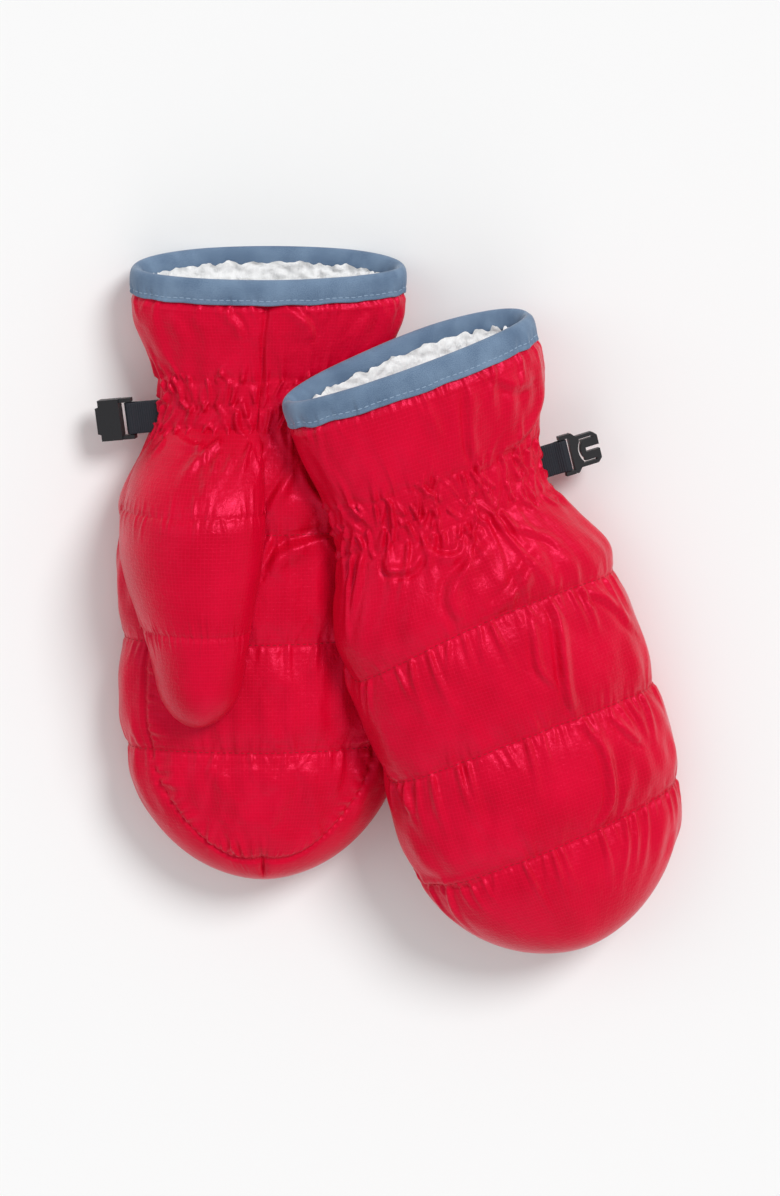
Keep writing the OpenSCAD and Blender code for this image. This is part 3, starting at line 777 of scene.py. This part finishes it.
def knots(side, y, column):
    """One column of the thumb's table at y, smoothed."""
    k = THUMB_KNOTS[side]
    fine_y = np.linspace(k[0, 0], k[-1, 0], 400)
    raw = np.interp(fine_y, k[:, 0], k[:, column])
    window = np.hanning(41) / np.hanning(41).sum()
    smooth = np.convolve(np.pad(raw, 20, mode="edge"), window, "valid")
    return np.interp(y, fine_y, smooth)


def thumb_grid(side, y, a, depth):
    """Points of the thumb and its gusset: a flat underside on the palm, and an arch over it."""
    tip = np.sqrt(np.clip(1 - (1 - (y - THUMB_TIP_Y) / THUMB_TIP_LEN) ** 2, 0, 1))
    tip = np.where(y > THUMB_TIP_Y + THUMB_TIP_LEN, 1, tip)
    left, right, high = (knots(side, y, c) for c in (1, 2, 3))
    x = 0.5 * (left + right) + (0.5 * (right - left) - depth) * tip * np.cos(a)
    up = np.sin(a)
    over = (high - 2 * depth) * np.maximum(up, 0) ** 0.85 * (0.3 + 0.7 * tip)
    arch = np.where(up > 0, over, 0.6 * up)
    sink = 1 - 6 * ease((y - 200) / 18)
    base = palm_z(side, x, y) + sink + depth + 0.35 * high * (1 - tip)
    return np.stack([x, y + depth * (1 - ease((y - 90) / 40)), base + arch * np.sqrt(tip)], -1)


def thumb_creases(side, round_s):
    """Folds off the thumb's quilt lines, and larger ones at its root under the elastic."""
    out = []
    for y in THUMB_QUILT:
        for way in (0, pi):
            s = rng.uniform(0, 3)
            while s < round_s:
                strong = rng.random() ** 2
                out.append((s, y, way + rng.normal(0, 0.15), 5 + 12 * strong, 1.3,
                            0.3 + 0.5 * strong, 0))
                s += rng.uniform(3.0, 6.0)
    for _ in range(9):
        out.append((rng.uniform(0, round_s * 0.5), rng.uniform(200, 208), pi + rng.normal(0, 0.45),
                    rng.uniform(14, 40), rng.uniform(2.4, 4.0), rng.uniform(0.5, 1.2), rng.normal(0, 7)))
    if side == RIGHT:
        out += [
            (35, 208, 2.09, 27, 3.4, 2.4, 5),
            (17, 207, 2.53, 18, 2.8, 2.0, 3),
            (45, 205, 1.47, 22, 2.6, 1.5, -3)]
    return out


for side in (RIGHT, LEFT):
    name = SIDES[side]
    tip_rows = THUMB_TIP_Y + THUMB_TIP_LEN * (1 - np.cos(np.linspace(0.06, pi / 2, 22)))
    y_rows = np.concatenate([tip_rows, np.linspace(tip_rows[-1], THUMB_END_Y, 92)[1:]])
    a_ring = np.linspace(0, 2 * pi, 141)[:-1]
    Yt, At = np.meshgrid(y_rows, a_ring, indexing="ij")
    local = thumb_grid(side, Yt, At, 0.0)
    measured = local[MEASURED_ROW]
    closed = np.concatenate([measured, measured[:1]])
    ring_s = np.concatenate([[0], np.cumsum(np.linalg.norm(np.diff(closed, axis=0), axis=1))])
    points = refine(place(side, local), 2)
    Yt = refine(Yt, 2)
    ring_s = np.interp(np.arange(2 * len(a_ring) + 1) / 2, np.arange(len(ring_s)), ring_s)
    St = np.broadcast_to(ring_s[:-1], Yt.shape).copy()
    height = np.zeros(Yt.shape)
    add_creases(height, St, Yt, ring_s[-1], thumb_creases(side, ring_s[-1]))
    for y in THUMB_QUILT:
        d = np.abs(Yt - y)
        height -= 0.4 * np.exp(-(d / 5.0) ** 2) + 0.5 * np.exp(-(d / 1.3) ** 2)
    height *= ease((Yt - THUMB_TIP_Y - 1) / 6)
    points = points + grid_normals(points) * OUTWARD[side] * height[..., None]
    points[..., 2] = np.maximum(points[..., 2], 0)
    rows, columns = Yt.shape
    u = np.broadcast_to(ring_s, (rows, columns + 1))
    shell = closed_tube(
        name + "_thumb_shell_cloth", points, side == RIGHT, u, np.concatenate([Yt, Yt[:, :1]], 1))
    shell.data.materials.append(red)
    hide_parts(*[name + part for part in (
        "_thumb_gusset", "_thumb_front_shell", "_thumb_rear_shell", "_thumb_insulation")])
    bend = [
        place(side, (knots(side, y, 1) / 2 + knots(side, y, 2) / 2, y, 40)) * MM for y in THUMB_BEND]
    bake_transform(shell)

# ------------------------------------------------------------------------------------ white pile

pile, tree, shader = material(
    "sherpa_pile", (0.93, 0.93, 0.93), 0.95, Specular_IOR_Level=0.1,
    Sheen_Weight=0.5, Sheen_Roughness=0.6)
in_object = node(tree, "ShaderNodeTexCoord").outputs["Object"]
fluff = cloth_noise(tree, in_object, Scale=900.0, Detail=4.0, Roughness=0.7)
shade = two_tone(tree, fluff, (0.88, 0.88, 0.88), (0.97, 0.97, 0.97), (0.3, 0.65))
tree.links.new(shade, shader.inputs["Base Color"])
tree.links.new(bump(tree, fluff, 0.8, 0.0006), shader.inputs["Normal"])


CUFF_FROM = 232.0  # the rows of the pile are closer together from here to the mouth
PILE_SHORT = 6.0  # how far inside the mouth the pile ends


def clumps(points, size, tall):
    """Heights of a curly pile at these points."""
    out = np.empty(len(points))
    for i, p in enumerate(points):
        spot = Vector(p) / size
        near = noise.voronoi(spot)[0]
        out[i] = tall * (1 - min(1.0, near[0]) + 0.35 * noise.noise(spot * 2.3))
    return out


def pile_lining(side):
    """The sherpa inside a mitten's body, and inside its thumb."""
    name = SIDES[side]
    t = np.linspace(0, 2 * pi, 301)[:-1]
    y = np.concatenate([
        TIP_LEN * (1 - np.cos(np.linspace(0.12, pi / 2, 22))),
        np.linspace(TIP_LEN, CUFF_FROM, 50)[1:],
        np.linspace(CUFF_FROM, MITTEN_LEN - PILE_SHORT, 60)[1:]])
    Y, T = np.meshgrid(y, t, indexing="ij")
    tufts = 0.7 * ripple(300, (10, 36), 10) + 0.35 * ripple(300, (40, 90), 10)
    Y = Y + tufts * ease((Y - 262) / 16)
    pile_depth = LINING_DEPTH * mix(1, 0.93, ease((Y - 262) / 20)) * depth_share(Y)
    points = place(side, skin(side, Y, T, pile_depth), 3.0)
    inward = -grid_normals(points) * OUTWARD[side]
    tall = 2.6 * ease((Y - 215) / 30) + 0.6
    grown = clumps(points.reshape(-1, 3), 4.6, 1.0).reshape(Y.shape) * tall
    grown += clumps(points.reshape(-1, 3) + 50, 2.1, 0.4).reshape(Y.shape) * tall
    points = points + inward * grown[..., None]
    obj = closed_tube(name + "_sherpa_lining", points, side == LEFT)
    obj.data.materials.append(pile)
    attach(obj, name + "_mitten")
    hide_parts(name + "_back_lining", name + "_palm_lining")
    thumb_y, thumb_a = np.meshgrid(
        np.linspace(88, 170, 40), np.linspace(0, 2 * pi, 61)[:-1], indexing="ij")
    inner = thumb_grid(side, thumb_y, thumb_a, 4.0)
    lined = closed_tube(name + "_thumb_pile", place(side, inner), side == RIGHT)
    lined.data.materials.append(pile)
    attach(lined, name + "_thumb")
    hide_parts(name + "_thumb_lining")


for side in (RIGHT, LEFT):
    pile_lining(side)

# ------------------------------------------------------------------------- bound cuffs and thread

tape, tree, shader = material(
    "blue_tape", (0.141, 0.216, 0.328), 0.82, Specular_IOR_Level=0.25,
    Sheen_Weight=0.25, Sheen_Roughness=0.5)
uv = node(tree, "ShaderNodeUVMap", uv_map="cloth").outputs["UV"]
threads = cloth_noise(tree, uv, Scale=2600.0, Detail=3.0, Roughness=0.6)
cloud = cloth_noise(tree, uv, Scale=60.0, Detail=3.0)
both = math_node(
    tree, "ADD", math_node(tree, "MULTIPLY", threads, 0.6), math_node(tree, "MULTIPLY", cloud, 0.4))
shade = two_tone(tree, both, (0.088, 0.145, 0.238), (0.19, 0.28, 0.405), (0.4, 0.6))
tree.links.new(shade, shader.inputs["Base Color"])
tree.links.new(bump(tree, threads, 0.6, 0.00015), shader.inputs["Normal"])

BINDING_PROFILE = np.array([
    # distance past the mouth, and depth: from the outer edge over the mouth to the inner edge
    (-10.6, 0.6), (-11.2, -0.2), (-11.1, -0.9), (-10.4, -1.25), (-9.4, -0.95), (-8.7, -0.9),
    (-7.2, -1.35),
    (-4.5, -1.5), (-2.4, -1.4), (-0.8, -1.0), (0.3, -0.2), (0.9, 0.9), (0.8, 2.1), (0.1, 3.2),
    (-1.2, 4.1), (-3.0, 4.8), (-5.2, 5.3), (-7.6, 5.5), (-8.4, 5.2), (-8.2, 4.4)])


LAP_AT = [0.9, 4.2]  # angle where the two ends of the tape lap
TAPE_STITCH_ROW = 5  # point of the profile that the stitches run along


def stitches(name, body_name, path, out, length, space, radius, mat):
    """Short threads laid along a path of points, on the surface whose normals are out."""
    step = np.concatenate([[0], np.cumsum(np.linalg.norm(np.diff(path, axis=0), axis=1))])
    starts = np.arange(0.5, step[-1] - length, length + space)
    rings = [  # share of the length, share of the radius, height in radii
        (0.0, 0.25, -0.5), (0.15, 0.85, 0.1), (0.5, 1.0, 0.35), (0.85, 0.85, 0.1), (1.0, 0.25, -0.5)]
    points, faces = [], []
    around = np.arange(6) / 6 * 2 * pi
    for s0 in starts:
        base = len(points)
        for f, r, lift in rings:
            s = s0 + f * length
            c = np.array([np.interp(s, step, path[:, i]) for i in range(3)])
            n = np.array([np.interp(s, step, out[:, i]) for i in range(3)])
            ahead = np.array([np.interp(s + 0.3, step, path[:, i]) for i in range(3)]) - c
            across = np.cross(n, ahead)
            across /= max(np.linalg.norm(across), 1e-9)
            for a in around:
                points.append(c + n * (lift + np.sin(a) * r) * radius + across * np.cos(a) * r * radius)
        for k in range(len(rings) - 1):
            for a in range(6):
                b = (a + 1) % 6
                low = base + 6 * k
                faces.append((low + a, low + b, low + 6 + b, low + 6 + a))
    points = np.array(points)
    points[:, 2] = np.maximum(points[:, 2], 0)
    obj = new_object(name, points, faces)
    obj.data.materials.append(mat)
    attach(obj, body_name)
    return obj


blue_thread, _, _ = material("blue_thread", (0.27, 0.37, 0.5), 0.6, Specular_IOR_Level=0.3)
red_thread, _, _ = material("red_thread", (0.42, 0.001, 0.016), 0.55, Specular_IOR_Level=0.3)

for side in (RIGHT, LEFT):
    name = SIDES[side]
    t = np.linspace(0, 2 * pi, 361)
    T, K = np.meshgrid(t[:-1], np.arange(len(BINDING_PROFILE)), indexing="ij")
    past, depth = BINDING_PROFILE[K, 0], BINDING_PROFILE[K, 1]
    puckers = 0.16 * ripple(360, (60, 110), 6) + 0.22 * ripple(360, (18, 40), 5)
    depth = depth - puckers[:, None] * ease((-past - 4) / 4) * (depth < 1)
    past = past + 0.3 * ripple(360, (9, 22), 4)[:, None] * ease((-past - 3) / 5) * (depth < 1)
    lapped = 1 - ease((np.abs(T - LAP_AT[side]) - 0.06) / 0.01)
    depth = depth - 0.35 * lapped * (depth < 3)
    points = place(side, skin(side, MITTEN_LEN + past, T, depth))
    points[..., 2] = np.maximum(points[..., 2], 0.0)
    rows, columns = T.shape
    arcs = np.append(np.arange(rows), rows) * 1.03
    closed = np.concatenate([points, points[:1]])
    profile_step = np.linalg.norm(np.diff(BINDING_PROFILE, axis=0), axis=1)
    profile_s = np.concatenate([[0], np.cumsum(profile_step)])
    size = (rows + 1, columns)
    uv = grid_uv(
        np.broadcast_to(arcs[:, None], size), np.broadcast_to(profile_s, size), side == LEFT)
    tape_obj = new_object(
        name + "_bound_edge", closed, grid_faces(*size, False, side == LEFT), uv * MM)
    tape_obj.data.materials.append(tape)
    smooth = tape_obj.modifiers.new("smooth", "SUBSURF")
    smooth.levels = smooth.render_levels = 1
    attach(tape_obj, name + "_mitten")
    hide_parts(name + "_cuff_binding")
    path = closed[:, TAPE_STITCH_ROW]
    ahead = closed[:, TAPE_STITCH_ROW + 1] - closed[:, TAPE_STITCH_ROW - 1]
    out = np.cross(np.gradient(path, axis=0), ahead) * OUTWARD[side]
    out /= np.linalg.norm(out, axis=1, keepdims=True)
    stitches(name + "_binding_thread", name + "_mitten", path, out,
             2.1, 1.0, 0.36, blue_thread)

# ------------------------------------------------------------------- thread along the quilt lines

for side in (RIGHT, LEFT):
    name = SIDES[side]
    points, S, Yf = body[side]
    normal = grid_normals(points) * OUTWARD[side]
    Tf = np.interp(S[0], ARC[side], table_t)
    for k in range(3):
        rows_at = np.abs(Yf - quilt_y(side, k, Tf)).argmin(0)
        pick = (rows_at, np.arange(len(Tf)))
        stitches(f"{name}_quilt_thread_{k + 1}", name + "_mitten", points[pick], normal[pick],
                 2.1, 0.7, 0.2, red_thread)

# -------------------------------------------------------------------------------- wrist elastic

band, tree, shader = material("elastic_band", (0.7, 0.7, 0.68), 0.8)
ribs = node(tree, "ShaderNodeTexWave", Scale=350.0, Distortion=1.0)
tree.links.new(node(tree, "ShaderNodeTexCoord").outputs["Object"], ribs.inputs["Vector"])
tree.links.new(bump(tree, ribs.outputs[1], 0.5, 0.0003), shader.inputs["Normal"])
for side in (RIGHT, LEFT):
    name = SIDES[side]
    t = np.linspace(0, 2 * pi, 181)[:-1]
    section = [(-12, 4.7), (-12, 5.9), (0, 5.9), (12, 5.9), (12, 4.7), (0, 4.7), (-12, 4.7)]
    ring = np.stack([place(side, skin(side, WRIST_Y + dy, t, d)) for dy, d in section])
    elastic = new_object(name + "_elastic", ring, grid_faces(len(section), len(t), True, side == LEFT))
    elastic.data.materials.append(band)
    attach(elastic, name + "_mitten")
    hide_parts(name + "_wrist_elastic")

# ------------------------------------------------------------------------------ webbing and clips

nylon, tree, shader = material("black_webbing", (0.006, 0.008, 0.013), 0.62, Specular_IOR_Level=0.4)
in_object = node(tree, "ShaderNodeTexCoord").outputs["Object"]
grain = cloth_noise(tree, in_object, Scale=2500.0, Detail=3.0)
shade = two_tone(tree, grain, (0.003, 0.004, 0.008), (0.018, 0.022, 0.034))
tree.links.new(shade, shader.inputs["Base Color"])
tree.links.new(bump(tree, grain, 0.5, 0.0002), shader.inputs["Normal"])

moulded, tree, shader = material(
    "moulded_plastic", (0.012, 0.012, 0.014), 0.42, Specular_IOR_Level=0.45)
in_object = node(tree, "ShaderNodeTexCoord").outputs["Object"]
speck = cloth_noise(tree, in_object, Scale=1500.0, Detail=2.0)
shade = two_tone(tree, speck, (0.009, 0.009, 0.011), (0.016, 0.016, 0.019))
tree.links.new(shade, shader.inputs["Base Color"])
tree.links.new(bump(tree, speck, 0.25, 0.00015), shader.inputs["Normal"])

WEBBING_W, WEBBING_T, BORE_R = 14.6, 1.3, 1.1  # width and thickness, and radius of the clip's bar
RIB_HEIGHT, RIB_PITCH = 0.11, 1.05


def webbing_profile(length):
    """The loop round the bar as a closed outline in the plane of (distance along the tab, height)."""
    r = BORE_R + 0.02 + WEBBING_T / 2
    half = [(-9, 0.68), (-1, 0.68), (0.8, 0.72), (2.2, 1.05), (3.4, 1.5), (length, r)]
    arc = [(length + r * np.sin(a), r * np.cos(a)) for a in np.linspace(0, pi, 14)[1:-1]]
    line = np.array(half + arc + [(s, -z) for s, z in half[::-1]])
    step = np.concatenate([[0], np.cumsum(np.linalg.norm(np.diff(line, axis=0), axis=1))])
    at = np.arange(0, step[-1], 0.2)
    line = np.stack([np.interp(at, step, line[:, i]) for i in (0, 1)], 1)
    along_line = np.gradient(line, axis=0)
    side_way = np.stack([-along_line[:, 1], along_line[:, 0]], 1)
    side_way /= np.linalg.norm(side_way, axis=1, keepdims=True)
    return line, side_way, at


for side in (RIGHT, LEFT):
    name = SIDES[side]
    fold = np.array(joints[name + "_tab_fold"]["pos_m"]) / MM
    bar = np.array(joints[name + "_clip_pivot"]["pos_m"]) / MM
    across = np.array(joints[name + "_tab_fold"]["axis"])
    length = np.linalg.norm(bar - fold)
    ahead = (bar - fold) / length
    up = np.cross(across, ahead)
    up *= np.sign(up[2])
    line, side_way, at = webbing_profile(length)
    rib = RIB_HEIGHT * np.cos(2 * pi * at / RIB_PITCH)
    w = WEBBING_W / 2 * np.array([-1, -0.985, -0.9, -0.6, -0.3, 0, 0.3, 0.6, 0.9, 0.985, 1])
    thin = np.array([0.55, 0.9, 1, 1, 1, 1, 1, 1, 1, 0.9, 0.55])
    sheets = []
    for sign_out, swell in ((1, rib), (-1, 0 * rib - 0.02)):
        half = sign_out * (WEBBING_T / 2 - 0.1 + swell)
        flat = line[None] + side_way[None] * half[None, :, None] * thin[:, None, None]
        p = fold + flat[..., :1] * ahead + flat[..., 1:] * up + w[:, None, None] * across
        sheets.append(p)
    loop = np.concatenate([sheets[0], sheets[1][:, ::-1]], 1)
    n_w, n_p = loop.shape[:2]
    faces = grid_faces(n_w, n_p, True).tolist()
    m = len(at)
    for i, last in ((0, False), (n_w - 1, True)):
        for k in range(m - 1):
            quad = (i * n_p + k, i * n_p + k + 1, i * n_p + n_p - 2 - k, i * n_p + n_p - 1 - k)
            faces.append(quad if last else quad[::-1])
    web = new_object(name + "_webbing", loop, faces)
    web.data.materials.append(nylon)
    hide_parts(name + "_webbing_tab", name + "_tab_anchor")
    bend = [(fold - ahead) * MM, (fold + 1.5 * ahead) * MM]
    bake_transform(web)

    cad_name = "right_clip_receiver" if side == RIGHT else "left_clip_hook"
    cad = frame["nodes"][cad_name]
    clip = bpy.data.objects.new(cad_name + "_moulded", cad.data.copy())
    bpy.context.scene.collection.objects.link(clip)
    bm = bmesh.new()
    bm.from_mesh(clip.data)
    bmesh.ops.remove_doubles(bm, verts=bm.verts, dist=1e-6)
    bmesh.ops.dissolve_limit(bm, angle_limit=radians(1), verts=bm.verts, edges=bm.edges)
    bm.to_mesh(clip.data)
    bm.free()
    clip.data.materials.clear()
    clip.data.materials.append(moulded)
    bevel = clip.modifiers.new("bevel", "BEVEL")
    bevel.width = 0.00028
    bevel.segments = 2
    bevel.limit_method = "ANGLE"
    bevel.angle_limit = radians(35)
    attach(clip, name + "_clip")
    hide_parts(cad_name)

# ----------------------------------------------------------------------- floor, lights and camera

FLOOR = 14000  # half the floor's size, enough for low views
floor = new_object(
    "floor", [(-FLOOR, -FLOOR, 0), (FLOOR, -FLOOR, 0), (FLOOR, FLOOR, 0), (-FLOOR, FLOOR, 0)],
    [(0, 1, 2, 3)])
paper, _, _ = material("paper", (0.93, 0.93, 0.93), 0.95, Specular_IOR_Level=0.0)
floor.data.materials.append(paper)

scene = bpy.context.scene
scene.view_settings.view_transform = "Standard"
world = bpy.data.worlds.new("room")
world.use_nodes = True
background = world.node_tree.nodes["Background"]
background.inputs["Color"].default_value = (1, 1, 1, 1)
background.inputs["Strength"].default_value = 0.47
scene.world = world


def sun(name, toward, angle, strength):
    """Even light from one direction. A wide angle makes it as soft as a large studio panel."""
    light = bpy.data.lights.new(name, "SUN")
    light.angle = radians(angle)
    light.energy = strength
    obj = bpy.data.objects.new(name, light)
    obj.rotation_euler = Vector(toward).to_track_quat("Z", "Y").to_euler()
    scene.collection.objects.link(obj)


sun("key", (0.62, 0.72, 1.0), 22, 1.85)
sun("side", (-0.9, 0.3, 0.75), 40, 0.35)
sun("low", (0.1, -0.9, 0.8), 50, 0.3)

LENS = 160
TILT = radians(10)
VIEW_HEIGHT = 0.550
MIDDLE_Z = 0.035
aim = Vector((0.0004, -0.0020, 0.0))
camera_data = bpy.data.cameras.new("camera")
camera_data.lens = LENS
camera = bpy.data.objects.new("camera", camera_data)
reach = LENS / 36 * VIEW_HEIGHT + MIDDLE_Z
camera.location = aim + reach * Vector((0, np.sin(TILT), np.cos(TILT)))
camera.rotation_euler = (-TILT, 0, 0)
scene.collection.objects.link(camera)
scene.camera = camera
